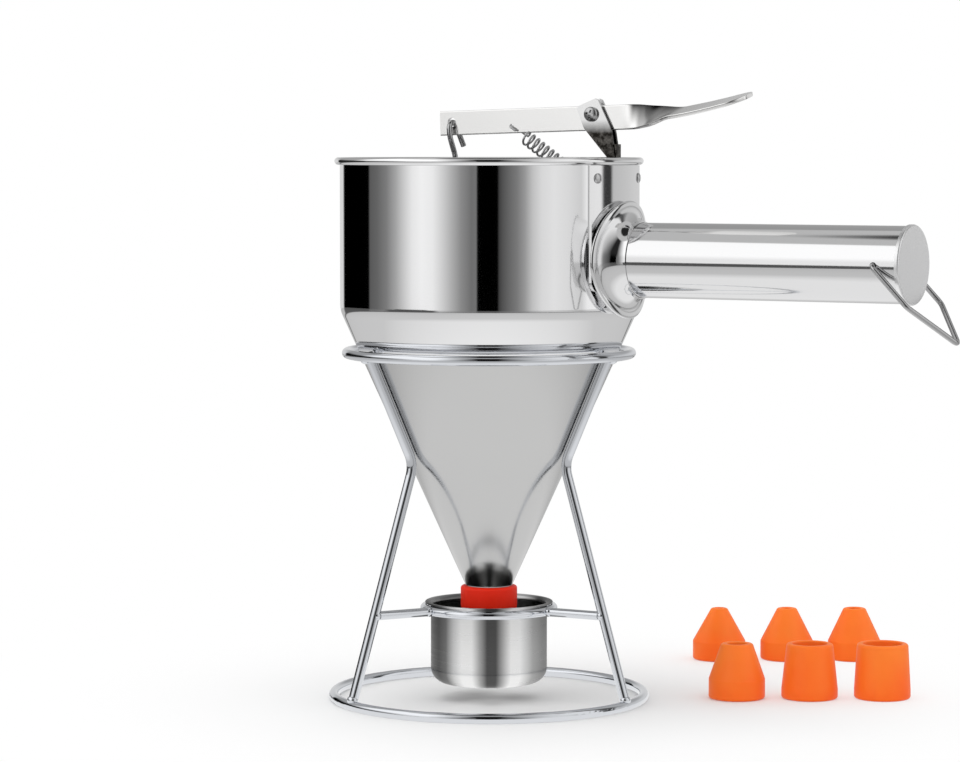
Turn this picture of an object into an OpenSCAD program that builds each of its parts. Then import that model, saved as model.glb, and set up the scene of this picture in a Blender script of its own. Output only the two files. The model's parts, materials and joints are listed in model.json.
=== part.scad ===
// Batter dispenser: a hand-held steel funnel with a lever-worked valve, standing in a wire
// stand over a drip cup, with six spare silicone nozzles beside it.
// The origin is on the floor at the middle of the stand, +X runs along the handle, +Z is up.

/* [Stand] */
// Wire thickness of the stand's rings and legs
wire_d = 4.5; // [3.5:0.1:5.5]
// How much wider the base ring is than the bowl
base_ring_wider = 11; // [0:1:36]
// How much narrower the top ring is than the bowl
top_ring_narrower = 1.5; // [-4:0.5:4]
// Height of the top ring's wire above the floor
top_ring_z = 157; // [150:1:165]
// Height at which each leg bends outwards
leg_bend_z = 108; // [100:1:125]
// Radius of the bend in each leg
leg_bend_r = 14; // [10:1:18]
// Depth of the flat ground under the base ring
foot_flat = 0.2; // [0.1:0.05:0.4]
// Wire thickness of the cup ring and its struts
cup_wire_d = 4; // [3:0.1:5]

/* [Drip cup] */
// Outer diameter of the cup
cup_d = 52.6; // [48:0.2:56]
// Height of the cup
cup_h = 37; // [30:0.5:38]
// Wall thickness of the cup
cup_wall = 0.8; // [0.6:0.1:1.2]
// Radius of the cup's bottom corner
cup_corner_r = 7; // [4:0.5:10]
// How far the cup's lip stands out past its wall
cup_lip = 2.6; // [2:0.1:3.4]
// Height of the cup's underside above the floor
cup_floor_z = 7.4; // [6:0.2:12]

/* [Funnel] */
// Outer diameter of the bowl
bowl_d = 134; // [126:1:138]
// Wall thickness of the funnel
bowl_wall = 1; // [0.8:0.1:1.4]
// Height of the bowl's upright wall
bowl_h = 68.5; // [60:0.5:80]
// Height of the cone below the bowl
cone_h = 124.5; // [118:0.5:128]
// Thickness of the rolled rim
rim_d = 3.4; // [2.8:0.1:4.2]
// Radius of the shoulder between bowl and cone
shoulder_r = 12; // [6:1:18]
// Outer diameter of the outlet spigot
spigot_d = 19; // [18:0.2:20]
// Length of the spigot below the cone
spigot_l = 14; // [10:0.5:16]
// Wall thickness of the spigot
spigot_wall = 1; // [0.8:0.1:1.2]

/* [Nozzles] */
// Outer diameter of a nozzle
nozzle_d = 25.6; // [24:0.2:27]
// Height of a nozzle
nozzle_h = 25; // [22:0.5:27]
// Depth of the socket that takes the spigot
socket_depth = 14.5; // [12:0.5:15]
// Outlet of the mounted nozzle
mounted_hole_d = 16; // [12:0.5:17]
// Distance from the stand's middle to the first column of spare nozzles
spare_x = 112.5; // [100:0.5:130]
// Distance between columns of spare nozzles
spare_pitch = 33; // [28:0.5:40]
// Distance between the two rows of spare nozzles
spare_row = 120; // [40:1:140]
// Angle of the rows of spare nozzles from the handle
spare_turn = 30; // [20:1:45]

/* [Handle] */
// Outer diameter of the handle
grip_d = 33; // [29:0.5:36]
// Length of the handle's tube
grip_l = 135; // [110:1:150]
// Wall thickness of the handle's tube
grip_wall = 1; // [0.8:0.1:1.5]
// Height of the handle's middle below the rim
grip_drop = 45; // [42:0.5:50]
// Diameter of the dished flange at the handle's root
flange_d = 52; // [46:1:54]
// Length of the flared neck at the handle's root
neck_l = 6; // [4:0.5:9]
// Width of the plate behind the flange
plate_w = 45; // [40:1:50]
// Height of the plate behind the flange
plate_h = 55; // [50:1:60]
// Thickness of pressed sheet parts
sheet_t = 1.2; // [1:0.1:1.5]
// Diameter of the end cap
cap_d = 34.2; // [33.6:0.2:37]
// Thickness of the end cap
cap_t = 2; // [1.5:0.1:3]

/* [Hanging bail] */
// Wire thickness of the bail
bail_d = 2.4; // [2:0.1:3]
// Length of the bail's parallel sides
bail_side = 23.5; // [20:0.5:28]
// Length of the part that narrows to the tip
bail_tip = 22.5; // [16:0.5:26]
// Distance of the bail's holes from the tube's end
bail_inset = 9.5; // [8:0.5:14]
// Angle at which the bail rests below level
bail_angle = 46; // [30:1:70]

/* [Lever] */
// Height of the lever's strip
lever_h = 11; // [9:0.5:12]
// Thickness of the lever's strip
lever_t = 1.8; // [1.5:0.1:2.2]
// Distance of the pivot from the funnel's middle
pivot_x = 53.6; // [50:0.2:56]
// Height of the pivot above the rim
pivot_rise = 19; // [17:0.5:22]
// Distance of the rod's hole from the pivot
rod_arm = 72.6; // [66:0.2:76]
// Distance of the spring's hole from the pivot
spring_arm = 41.6; // [36:0.2:44]
// Angle at which the lever's strip climbs towards the thumb
lever_tilt = 1.5; // [0:0.1:2.5]
// Length of the twist between strip and thumb tab
twist_l = 26; // [20:0.5:30]
// Length of the thumb tab
tab_l = 32; // [28:0.5:40]
// Width of the thumb tab
tab_w = 20; // [16:0.5:24]
// How far the tab's tip rises
tab_rise = 8.5; // [6:0.5:12]
// Diameter of the pivot screw
pivot_d = 4; // [3:0.5:5]

/* [Valve] */
// Diameter of the valve rod
rod_d = 2.5; // [2:0.1:3]
// Radius of the hook at the rod's top
hook_r = 3.4; // [3.2:0.1:4]
// Height of the valve plug
plug_h = 14; // [10:0.5:18]
// Wire thickness of the spring
spring_wire = 1; // [0.8:0.1:1.2]
// Mean diameter of the spring's coil
coil_d = 6; // [5:0.2:7]
// Number of turns in the spring
turns = 16; // [12:1:18]

/* [Hidden] */

// Gap left between welded or pressed pieces
weld_gap = 0.1;
// Gap between pieces that rest on each other
seat_gap = 0.3;
// Radial clearance of a pin in its hole
pin_gap = 0.08;
// How far a cut runs past the face that it opens
over = 1;
// Steps along a rounded corner of an outline
arc_steps = 8;
// How much thinner a bend or a blended end is than the run that it sinks into
join_step = 0.02;
// Number of sides given to a round shape where it is meshed
$fn = 96;

// Heights and radii that follow from the sizes above
wire_r = wire_d / 2;
bowl_r = bowl_d / 2;
spigot_r = spigot_d / 2;
cone_end_r = spigot_r + bowl_wall / 2 + 0.8 * bowl_wall;
cone_tan = (bowl_r - cone_end_r) / cone_h;
cone_angle = atan(cone_tan);
skin_shift = bowl_wall / cos(cone_angle);
base_ring_r = (bowl_d + base_ring_wider) / 2 - wire_r;
top_ring_r = (bowl_d - top_ring_narrower) / 2 - wire_r;
base_ring_z = wire_r - foot_flat;
// The cone meets the legs where this much room is left round the wire
leg_shift = (wire_r + seat_gap) / cos(cone_angle);
seat_cone_r = top_ring_r - leg_shift - 0.65 * wire_d;
shoulder_z = top_ring_z + (bowl_r - seat_cone_r) / cone_tan;
cone_end_z = shoulder_z - cone_h;
rim_z = shoulder_z + bowl_h;

function cone_r(z) = bowl_r - (shoulder_z - z) * cone_tan;
function cone_in_r(z) = cone_r(z) - skin_shift;

// Points round a corner from direction a to direction b, of radius r about c
function arc(c, r, a, b) =
    [for (i = [0:arc_steps]) c + r * [cos(a + (b - a) * i / arc_steps), sin(a + (b - a) * i / arc_steps)]];

function unit(v) = v / norm(v);
function angle_of(v) = atan2(v[1], v[0]);
function turn_between(a, b) = let (d = angle_of(b) - angle_of(a)) d > 180 ? d - 360 : d < -180 ? d + 360 : d;

// A round wire along a flat path, with a true bend of its own radius at each inner point
module flat_wire(path, bends, d) {
    n = len(path);
    function cut(i) = (i == 0 || i == n - 1) ? 0
        : bends[i - 1] * tan(abs(turn_between(path[i] - path[i - 1], path[i + 1] - path[i])) / 2);
    for (i = [0:n - 2]) {
        way = unit(path[i + 1] - path[i]);
        wire_run(path[i] + way * cut(i), path[i + 1] - way * cut(i + 1), d);
    }
    for (i = [1:n - 2]) {
        before = unit(path[i] - path[i - 1]);
        turn = turn_between(before, path[i + 1] - path[i]);
        side = turn > 0 ? 1 : -1;
        centre = path[i] - before * cut(i) + side * bends[i - 1] * [-before[1], before[0]];
        from = angle_of(before) - side * 90;
        wire_bend(centre, bends[i - 1], side > 0 ? from : from + turn, abs(turn), d);
    }
}

module wire_run(a, b, d) {
    translate([a[0], a[1], 0])
        rotate([0, 0, angle_of(b - a)])
            rotate([0, 90, 0])
                cylinder(d = d, h = norm(b - a));
}

// A bend sinks a little way into the straight run at each of its ends
module wire_bend(centre, r, from, turn, d) {
    lap = sqrt(join_step / r) * 180 / PI;
    translate([centre[0], centre[1], 0])
        rotate([0, 0, from - lap])
            rotate_extrude(angle = turn + 2 * lap)
                translate([r, 0])
                    circle(d = d - 2 * join_step);
}

module ring(r, z, d) {
    translate([0, 0, z])
        rotate_extrude()
            translate([r, 0])
                circle(d = d);
}

// Stand
module base_ring() {
    color("silver")
        intersection() {
            ring(base_ring_r, base_ring_z, wire_d);
            cylinder(r = bowl_d, h = bowl_d);
        }
}

module top_ring() {
    color("silver")
        ring(top_ring_r, top_ring_z, wire_d);
}

leg_bend_x = cone_r(leg_bend_z) + leg_shift;
leg_top_z = top_ring_z + 0.3 * wire_d;
leg_path = [[cone_r(leg_top_z) + leg_shift, leg_top_z], [leg_bend_x, leg_bend_z], [base_ring_r, base_ring_z]];

module leg_wire(d) {
    rotate([90, 0, 0])
        flat_wire(leg_path, [leg_bend_r], d);
}

module leg(turn) {
    color("silver")
        rotate([0, 0, turn])
            difference() {
                leg_wire(wire_d);
                ring(base_ring_r, base_ring_z, wire_d + 2 * weld_gap);
                ring(top_ring_r, top_ring_z, wire_d + 2 * weld_gap);
            }
}

leg_turns = [0, 120, 240];
cup_r = cup_d / 2;
cup_ring_r = cup_r + 0.9 * cup_wall + cup_wire_d / 2;
cup_lip_z = cup_floor_z + cup_h;
cup_ring_z = cup_lip_z - cup_wall - seat_gap - cup_wire_d / 2;

module cup_ring() {
    color("silver")
        ring(cup_ring_r, cup_ring_z, cup_wire_d);
}

module cup_struts() {
    color("silver")
        for (turn = leg_turns)
            rotate([0, 0, turn])
                difference() {
                    translate([cup_ring_r, 0, cup_ring_z])
                        rotate([0, 90, 0])
                            cylinder(d = cup_wire_d, h = leg_foot_x(cup_ring_z) - cup_ring_r);
                    ring(cup_ring_r, cup_ring_z, cup_wire_d + 2 * weld_gap);
                    leg_wire(wire_d + 2 * weld_gap);
                }
}

// Middle of a leg's lower run at height z
function leg_foot_x(z) =
    leg_bend_x + (base_ring_r - leg_bend_x) * (leg_bend_z - z) / (leg_bend_z - base_ring_z);

// Drip cup
module drip_cup() {
    lip_r = cup_r + cup_lip;
    inner_corner = cup_corner_r - cup_wall;
    color("lightgray")
        translate([0, 0, cup_floor_z])
            rotate_extrude() {
                polygon(concat(
                    [[0, 0]],
                    arc([cup_r - cup_corner_r, cup_corner_r], cup_corner_r, -90, 0),
                    [[cup_r, cup_h - cup_wall], [lip_r - cup_wall / 2, cup_h - cup_wall],
                        [lip_r - cup_wall / 2, cup_h], [cup_r - cup_wall, cup_h]],
                    arc([cup_r - cup_corner_r, cup_corner_r], inner_corner, 0, -90),
                    [[0, cup_wall]]));
                translate([lip_r - cup_wall / 2, cup_h - cup_wall / 2])
                    circle(d = cup_wall);
            }
}

// Funnel: upright bowl, rounded shoulder, straight cone and rolled rim in one skin
shoulder_cut = shoulder_r * tan(cone_angle / 2);

module funnel_body() {
    outer_arc = [bowl_r - shoulder_r, shoulder_z + shoulder_cut];
    rim_r = rim_d / 2;
    rim_x = bowl_r - bowl_wall + rim_r;
    rim_under = -180 + acos((rim_r - bowl_wall) / rim_r);
    color("lightgray")
        difference() {
            rotate_extrude()
                polygon(concat(
                    arc(outer_arc, shoulder_r, 0, -cone_angle),
                    [[cone_end_r, cone_end_z], [cone_end_r - skin_shift, cone_end_z]],
                    arc(outer_arc, shoulder_r - bowl_wall, -cone_angle, 0),
                    [for (a = [180:-15:0]) [rim_x + rim_r * cos(a), rim_z - rim_r + rim_r * sin(a)]],
                    [for (i = [1:arc_steps]) let (a = rim_under * i / arc_steps)
                        [rim_x + rim_r * cos(a), rim_z - rim_r + rim_r * sin(a)]]));
            rivet_holes();
        }
}

// Spigot: a short tube with a flared collar that lies inside the cone's end
collar_h = 5 * spigot_wall;
collar_skin = spigot_wall / cos(cone_angle);

function collar_r(z) = cone_in_r(z) - weld_gap;

module outlet_spigot() {
    z0 = cone_end_z - spigot_l;
    z1 = cone_end_z;
    z2 = cone_end_z + collar_h;
    color("silver")
        rotate_extrude()
            polygon([[spigot_r - spigot_wall, z0], [spigot_r, z0], [spigot_r, z1], [collar_r(z1), z1],
                [collar_r(z2), z2], [collar_r(z2) - collar_skin, z2], [collar_r(z1) - collar_skin, z1]]);
}

// Nozzles: a straight foot up to foot_h round the socket, a taper, a rounded tip and the outlet
nozzle_r = nozzle_d / 2;
nozzle_foot = 0.36 * nozzle_h;
nozzle_edge = 0.05 * nozzle_d;

module nozzle(tip_share, hole_share, foot_h) {
    tip_r = nozzle_r * tip_share;
    hole_r = nozzle_r * hole_share;
    socket_r = spigot_r + weld_gap;
    lean = atan((nozzle_r - tip_r) / (nozzle_h - foot_h));
    roof = min(socket_depth, nozzle_h - (socket_r - hole_r) - 2 * nozzle_edge);
    rotate_extrude()
        polygon(concat(
            [[socket_r, 0], [nozzle_r - nozzle_edge, 0], [nozzle_r, nozzle_edge], [nozzle_r, foot_h]],
            arc([tip_r - nozzle_edge * cos(lean), nozzle_h - nozzle_edge], nozzle_edge, lean, 90),
            [[hole_r + nozzle_edge / 2, nozzle_h], [hole_r, nozzle_h - nozzle_edge / 2],
                [hole_r, roof + 0.6 * (socket_r - hole_r)], [socket_r, roof]]));
}

module mounted_nozzle() {
    color("orangered")
        translate([0, 0, cone_end_z - seat_gap])
            mirror([0, 0, 1])
                nozzle(0.86, mounted_hole_d / nozzle_d, nozzle_foot);
}

// Tip and outlet diameters of the spare nozzles as shares of their outer diameter
spare_shares = [[0.33, 0.15], [0.39, 0.19], [0.44, 0.24], [0.58, 0.36], [0.83, 0.62], [0.91, 0.7]];

module spare(i) {
    column = i % 3;
    row = i < 3 ? 1 : 0;
    color("darkorange")
        rotate([0, 0, spare_turn])
            translate([spare_x + column * spare_pitch, row * spare_row, 0])
                nozzle(spare_shares[i][0], spare_shares[i][1], i < 4 ? nozzle_foot : nozzle_foot / 2);
}

// Plate that stiffens the bowl behind the handle
plate_bottom = rim_z - rim_d - weld_gap - plate_h;
plate_edge = plate_h / 14;

// A piece of sheet bent to the bowl's curve, w wide, from z up by h, centred over the handle
module curved_sheet(inner, w, z, h) {
    half = asin(w / 2 / (inner + sheet_t));
    rotate([0, 0, -half])
        rotate_extrude(angle = 2 * half)
            translate([inner, z])
                square([sheet_t, h]);
}

module plate_outline() {
    half = plate_w / 2;
    corner = half - plate_edge;
    rotate([90, 0, 90])
        linear_extrude(height = bowl_d)
            polygon(concat(
                [[half, plate_h + over], [-half, plate_h + over]],
                arc([-corner, plate_edge], plate_edge, 180, 270),
                arc([corner, plate_edge], plate_edge, 270, 360)));
}

module backing_plate() {
    color("silver")
        difference() {
            intersection() {
                curved_sheet(bowl_r + weld_gap, plate_w + over, plate_bottom, plate_h);
                translate([0, 0, plate_bottom])
                    plate_outline();
            }
            rivet_holes();
        }
}

// Two rivets through the bowl, the plate outside it and the bracket inside it
rivet_d = 2.5 * sheet_t;
rivet_y = plate_w / 2 - 1.3 * rivet_d;
rivet_z = rim_z - rim_d - 1.9 * rivet_d;

module at_rivets() {
    for (side = [-1, 1])
        rotate([0, 0, side * asin(rivet_y / bowl_r)])
            translate([0, 0, rivet_z])
                rotate([0, 90, 0])
                    children();
}

module rivet_holes() {
    at_rivets()
        cylinder(d = rivet_d, h = bowl_d);
}

module bracket_rivets() {
    inside = bowl_r - bowl_wall - 2 * weld_gap - sheet_t;
    outside = bowl_r + 2 * weld_gap + sheet_t;
    dome = rivet_d / 3;
    color("gray")
        at_rivets()
            rotate_extrude()
                polygon([[0, inside - dome], [0.4 * rivet_d, inside - dome], [0.75 * rivet_d, inside],
                    [0.5 * rivet_d - pin_gap, inside], [0.5 * rivet_d - pin_gap, outside],
                    [0.75 * rivet_d, outside], [0.4 * rivet_d, outside + dome], [0, outside + dome]]);
}

// Dished flange round the handle's root
grip_r = grip_d / 2;
grip_z = rim_z - grip_drop;
flange_x = bowl_r + 4.2 * sheet_t;
neck_r = grip_r + 0.9 * neck_l;

module along_handle(x) {
    translate([x, 0, grip_z])
        rotate([0, 90, 0])
            children();
}

module handle_flange() {
    back = flange_x - 2.4 * sheet_t;
    edge = sheet_t;
    color("silver")
        along_handle(0)
            rotate_extrude()
                polygon(concat(
                    [[grip_r + weld_gap, flange_x - sheet_t], [flange_d / 2 - sheet_t, flange_x - sheet_t],
                        [flange_d / 2 - sheet_t, back], [flange_d / 2, back]],
                    [for (p = arc([flange_x - edge, flange_d / 2 - edge], edge, 90, 0)) [p[1], p[0]]],
                    [[neck_r, flange_x]],
                    [for (i = [1:arc_steps - 1]) let (s = i / arc_steps)
                        [neck_r - (neck_r - grip_r - sheet_t / 2) * sin(90 * s),
                            flange_x + neck_l * (1 - cos(90 * s))]],
                    [[grip_r + sheet_t / 2, flange_x + neck_l], [grip_r + weld_gap, flange_x + neck_l]]));
}

// Handle, its root coped to the plate behind the flange
grip_end = flange_x + grip_l - neck_l / 2;
bail_x = grip_end - bail_inset;

module bail_bore(d) {
    translate([bail_x, -flange_d, grip_z])
        rotate([-90, 0, 0])
            cylinder(d = d, h = 2 * flange_d);
}

module handle_tube() {
    start = bowl_r - neck_l;
    color("silver")
        difference() {
            along_handle(start)
                difference() {
                    cylinder(r = grip_r, h = grip_end - start);
                    translate([0, 0, -over])
                        cylinder(r = grip_r - grip_wall, h = grip_end - start + 2 * over);
                }
            bail_bore(bail_d + 2 * seat_gap);
            cylinder(r = bowl_r + sheet_t + 2 * weld_gap, h = rim_z);
        }
}

module handle_cap() {
    plug_r = grip_r - grip_wall - weld_gap;
    edge = cap_t / 2.5;
    color("lightgray")
        along_handle(grip_end + weld_gap)
            rotate_extrude()
                polygon(concat(
                    [[0, -cap_t], [plug_r, -cap_t], [plug_r, 0], [cap_d / 2, 0]],
                    arc([cap_d / 2 - edge, cap_t - edge], edge, 0, 90),
                    [[0, cap_t]]));
}

// Bail: both ends turn in through the tube, the sides run level and meet at a tip
bail_y = grip_r + bail_d / 2 + 3 * seat_gap;
bail_bend = bail_d;

module hanging_bail() {
    pin_y = grip_r - 1.5 * grip_wall - bail_d;
    tip_x = bail_side + bail_tip;
    path = [[0, -pin_y], [0, -bail_y], [bail_side, -bail_y], [tip_x, 0], [bail_side, bail_y], [0, bail_y],
        [0, pin_y]];
    color("gray")
        translate([bail_x, 0, grip_z])
            rotate([0, bail_angle, 0])
                flat_wire(path, [bail_bend, 2 * bail_bend, bail_bend, 2 * bail_bend, bail_bend], bail_d);
}

// Lever bracket: a strap riveted inside the bowl, with two ears that hold the lever
pivot_z = rim_z + pivot_rise;
ear_in = lever_t / 2 + 1.5 * seat_gap;
ear_out = ear_in + sheet_t;
strap_r = bowl_r - bowl_wall - weld_gap;
strap_w = 2 * rivet_y + 2.2 * rivet_d;
lug_l = 5 * sheet_t;
lug_z = rim_z - 5.9 * rim_d;
strap_bottom = lug_z - lug_l;
lug_x = strap_r - sheet_t - 0.6 * lug_l;
lug_hole_d = 2.2 * spring_wire;

// Outline of an ear, drawn in the plane of the lever
ear_points = [
    [pivot_x - 0.68 * lever_h, pivot_z + 0.24 * lever_h],
    [pivot_x - 0.6 * lever_h, pivot_z + 0.33 * lever_h],
    [pivot_x + 0.15 * lever_h, pivot_z + 0.62 * lever_h],
    [pivot_x + 0.28 * lever_h, pivot_z + 0.57 * lever_h],
    [pivot_x + 0.86 * lever_h, pivot_z - 0.55 * lever_h],
    [strap_r - 0.5 * sheet_t, rim_z],
    [strap_r - 0.42 * lever_h, rim_z],
    [pivot_x - 0.36 * lever_h, pivot_z - 0.55 * lever_h]];

module ear_plate(y0) {
    translate([0, y0 + sheet_t, 0])
        rotate([90, 0, 0])
            linear_extrude(height = sheet_t)
                children();
}

// Half of the strap's outline seen along the handle: a tongue, the riveted bar, and the web over the rim
strap_half = let (tongue = lug_l, wide = strap_w / 2, narrow = ear_out - sheet_t / 2,
    bar_bottom = rivet_z - 1.6 * rivet_d, bar_top = rim_z - rim_d, web_top = pivot_z - 1.2 * lever_h)
    [[tongue, strap_bottom], [tongue, bar_bottom - tongue], [1.8 * tongue, bar_bottom], [wide, bar_bottom],
        [wide, bar_top], [narrow, bar_top], [narrow, web_top]];

module strap_outline() {
    rotate([90, 0, 90])
        linear_extrude(height = bowl_d)
            polygon(concat(strap_half,
                [for (i = [len(strap_half) - 1:-1:0]) [-strap_half[i][0], strap_half[i][1]]]));
}

module lever_bracket() {
    color("silver")
        difference() {
            union() {
                intersection() {
                    curved_sheet(strap_r - sheet_t, strap_w + over, strap_bottom - over, 2 * bowl_h);
                    strap_outline();
                }
                for (y0 = [-ear_out, ear_in])
                    ear_plate(y0)
                        polygon(ear_points);
                ear_plate(-sheet_t / 2) {
                    translate([lug_x, lug_z - lug_l / 2])
                        square([strap_r - sheet_t / 2 - lug_x, lug_l]);
                    translate([lug_x, lug_z])
                        circle(d = lug_l);
                }
            }
            translate([pivot_x, -bowl_r, pivot_z])
                rotate([-90, 0, 0])
                    cylinder(d = pivot_d + 2 * pin_gap, h = bowl_d);
            translate([lug_x, -bowl_r, lug_z])
                rotate([-90, 0, 0])
                    cylinder(d = lug_hole_d, h = bowl_d);
            rivet_holes();
        }
}

// Pivot screw with a domed cross-slotted head, and its nut
head_d = 1.65 * pivot_d;
head_h = 0.55 * pivot_d;
nut_h = 0.8 * pivot_d;

module pivot_screw() {
    y0 = -ear_out - weld_gap;
    tail = 2 * (ear_out + weld_gap) + 1.2 * nut_h;
    slot_w = 0.22 * pivot_d;
    color("silver")
        translate([pivot_x, y0, pivot_z])
            rotate([-90, 0, 0])
                difference() {
                    rotate_extrude()
                        polygon(concat(
                            [[0, tail], [0, -head_h]],
                            [for (i = [1:arc_steps]) let (a = 90 * i / arc_steps)
                                [head_d / 2 * sin(a), -head_h * (0.35 + 0.65 * cos(a))]],
                            [[head_d / 2, 0], [pivot_d / 2, 0], [pivot_d / 2, tail]]));
                    for (turn = [20, 110])
                        rotate([0, 0, turn])
                            translate([-0.3 * head_d, -slot_w / 2, -head_h - over])
                                cube([0.6 * head_d, slot_w, 0.6 * head_h + over]);
                }
}

module pivot_nut() {
    color("silver")
        translate([pivot_x, ear_out + weld_gap, pivot_z])
            rotate([-90, 0, 0])
                difference() {
                    cylinder(d = 2 * pivot_d, h = nut_h, $fn = 6);
                    translate([0, 0, -over])
                        cylinder(d = pivot_d + 2 * weld_gap, h = nut_h + 2 * over);
                }
}

// Lever: a flat strip on edge that twists over the rim into a thumb tab
strip_z = pivot_z - 0.16 * lever_h;
strip_start = pivot_x - rod_arm - 0.55 * lever_h;
strip_end = bowl_r + 0.4 * lever_h;

// A point of the level lever, turned with it about the pivot
function tilted(x, z) = [pivot_x + (x - pivot_x) * cos(lever_tilt) - (z - pivot_z) * sin(lever_tilt),
    pivot_z + (x - pivot_x) * sin(lever_tilt) + (z - pivot_z) * cos(lever_tilt)];

hook_hole = [pivot_x - rod_arm, strip_z + 0.03 * lever_h];
spring_hole = [pivot_x - spring_arm, strip_z - 0.22 * lever_h];
hook_x = tilted(hook_hole[0], hook_hole[1])[0];
hook_z = tilted(hook_hole[0], hook_hole[1])[1];
spring_x = tilted(spring_hole[0], spring_hole[1])[0];
spring_z = tilted(spring_hole[0], spring_hole[1])[1];

ring_steps = 26;
tab_run = twist_l + tab_l;

function smooth(s) = s <= 0 ? 0 : s >= 1 ? 1 : s * s * (3 - 2 * s);
function tab_roll(x) = 90 * (1 - smooth(x / twist_l));
function tab_z(x) = x < twist_l / 2 ? 0 : tab_rise * pow((x - twist_l / 2) / (tab_run - twist_l / 2), 1.5);
function tab_width(x) =
    let (grown = lever_h + (tab_w - lever_h) * smooth((x - 0.4 * twist_l) / (0.8 * twist_l)),
        end_s = max(0, (x - (tab_run - 0.45 * tab_w)) / (0.45 * tab_w)))
    grown * sqrt(max(0.1, 1 - 0.9 * end_s * end_s));

// One cross-section of the twisted part, as a flat bar with eased corners
function tab_ring(x) =
    let (w = tab_width(x) / 2 - join_step, t = lever_t / 2 - join_step, e = lever_t / 4, a = tab_roll(x),
        flat = [[w, -t + e], [w, t - e], [w - e, t], [e - w, t], [-w, t - e],
            [-w, e - t], [e - w, -t], [w - e, -t]])
    [for (p = flat) [strip_end + x, p[0] * cos(a) - p[1] * sin(a),
        strip_z + tab_z(x) + p[0] * sin(a) + p[1] * cos(a)]];

module tube_mesh(rings) {
    n = len(rings);
    m = len(rings[0]);
    polyhedron(
        points = [for (r = rings) each r],
        faces = concat(
            [[for (j = [0:m - 1]) j]],
            [for (i = [0:n - 2], j = [0:m - 1], half = [0, 1])
                let (a = i * m + j, b = i * m + (j + 1) % m, c = a + m, d = b + m)
                half == 0 ? [a, c, b] : [b, c, d]],
            [[for (j = [m - 1:-1:0]) (n - 1) * m + j]]));
}

module lever_hole(x, z, d) {
    translate([x, -lever_t, z])
        rotate([-90, 0, 0])
            cylinder(d = d, h = 2 * lever_t);
}

module thumb_lever() {
    color("silver")
        translate([pivot_x, 0, pivot_z])
            rotate([0, -lever_tilt, 0])
                translate([-pivot_x, 0, -pivot_z]) {
                    difference() {
                        translate([strip_start, lever_t / 2, strip_z - lever_h / 2])
                            rotate([90, 0, 0])
                                linear_extrude(height = lever_t)
                                    square([strip_end - strip_start, lever_h]);
                        lever_hole(pivot_x, pivot_z, pivot_d + 2 * pin_gap);
                        lever_hole(hook_hole[0], hook_hole[1], 1.7 * rod_d);
                        lever_hole(spring_hole[0], spring_hole[1], 2.2 * spring_wire);
                    }
                    tube_mesh([for (i = [0:ring_steps]) tab_ring(i == 0 ? -lever_t : tab_run * i / ring_steps)]);
                }
}

// Valve rod, hooked through the lever and hanging down the funnel's middle
plug_z = cone_end_z + 1.4 * spigot_wall;
rod_run = norm([hook_x, hook_z - plug_z]);
rod_lean = atan2(-hook_x, hook_z - plug_z);

module in_rod_frame() {
    translate([hook_x, 0, hook_z])
        rotate([0, -rod_lean, 0])
            children();
}

module valve_rod() {
    splay = 30;
    tail = 3 * hook_r;
    jog = 2 * hook_r;
    tail_from = [hook_r * cos(splay), hook_r * (sin(splay) - 1)];
    path = [[-hook_r, -hook_r], [-hook_r, -jog], [0, -2.2 * jog], [0, -rod_run + plug_h / 2]];
    color("silver")
        in_rod_frame()
            rotate([90, 0, 90]) {
                wire_run(tail_from + tail * [sin(splay), -cos(splay)], tail_from, rod_d);
                wire_bend([0, -hook_r], hook_r, splay, 180 - splay, rod_d);
                flat_wire(path, [3 * hook_r, 3 * hook_r], rod_d);
            }
}

// Plug: its flank lies parallel to the collar, its nose dips into the spigot
module valve_plug() {
    nose_r = 0.6 * spigot_r;
    seat_r = collar_r(plug_z) - collar_skin - seat_gap / cos(cone_angle);
    top_r = seat_r + 0.55 * plug_h * cone_tan;
    bore_r = rod_d / 2 + weld_gap;
    floor_z = plug_h / 2 - weld_gap;
    color("dimgray")
        translate([0, 0, plug_z])
            difference() {
                rotate_extrude()
                    polygon(concat(
                        [[0, -0.35 * plug_h], [nose_r, -0.35 * plug_h], [nose_r + weld_gap, 0], [seat_r, 0],
                            [top_r, 0.55 * plug_h]],
                        [for (i = [1:arc_steps]) let (a = 90 * i / arc_steps)
                            [rod_d + (top_r - rod_d) * cos(a), 0.55 * plug_h + 0.45 * plug_h * sin(a)]],
                        [[0, plug_h]]));
                translate([-hook_lean(floor_z), 0, floor_z])
                    rotate([0, -rod_lean, 0])
                        cylinder(r = bore_r, h = plug_h);
            }
}

// How far the leaning rod has moved from the middle at height z above the plug's seat
function hook_lean(z) = z * tan(rod_lean);

// Spring from the lever to the bracket's lug: one wire, hooked at both ends
spring_from = [spring_x, 0, spring_z];
spring_to = [lug_x, 0, lug_z];
spring_l = norm(spring_to - spring_from);
spring_dip = atan2(spring_z - lug_z, lug_x - spring_x);
coil_r = coil_d / 2;
hook_bend = lever_t / 2 + spring_wire;
lead = 3.7 * coil_r;
coil_l = spring_l - 2 * lead;
curl_rings = 8;
wire_sides = 6;

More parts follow.
